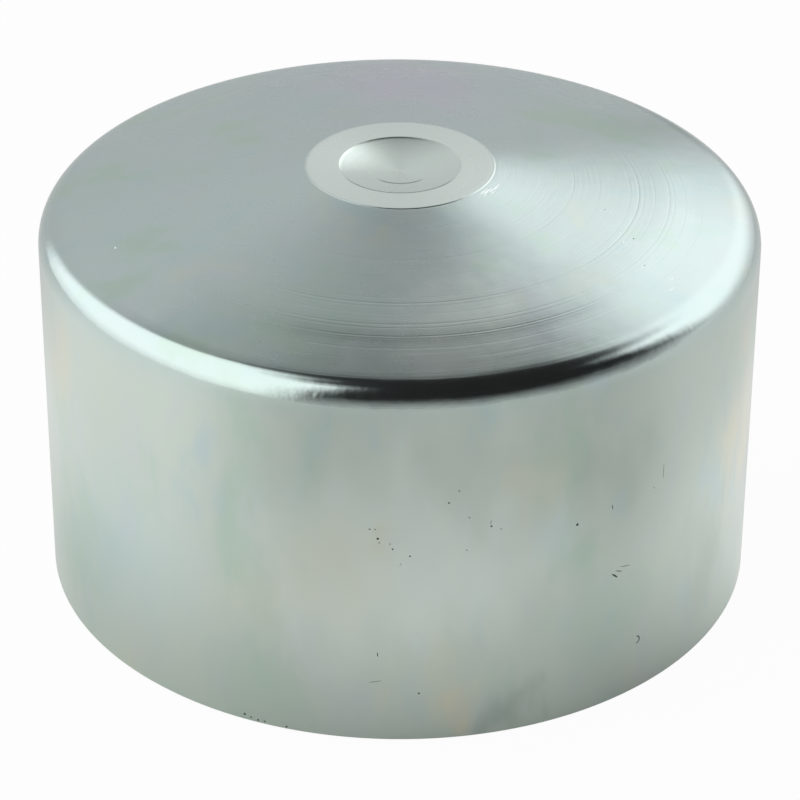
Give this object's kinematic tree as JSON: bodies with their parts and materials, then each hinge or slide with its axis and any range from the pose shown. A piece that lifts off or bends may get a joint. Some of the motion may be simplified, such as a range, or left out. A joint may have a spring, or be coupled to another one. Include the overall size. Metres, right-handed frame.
{
  "type": "tube end cap",
  "caption": "Round slip-over cap for a tube end: a deep sheet-steel cup with a straight wall, a tight shoulder and a shallow crown with a dished centre mark.",
  "frame": {"origin": "centre of the mouth, in the plane of the rim", "axes": "+Z along the cap's axis, from the mouth to the crown; X and Y lie in the rim's plane"},
  "size_m": [0.064, 0.064, 0.039],
  "materials": {
    "zinc_plate": "spun low-carbon steel, electroplated with zinc and clear passivated, satin with faint rings and a few plating pits"
  },
  "bodies": {
    "root": {"end_cap": "zinc_plate"}
  },
  "joints": []
}
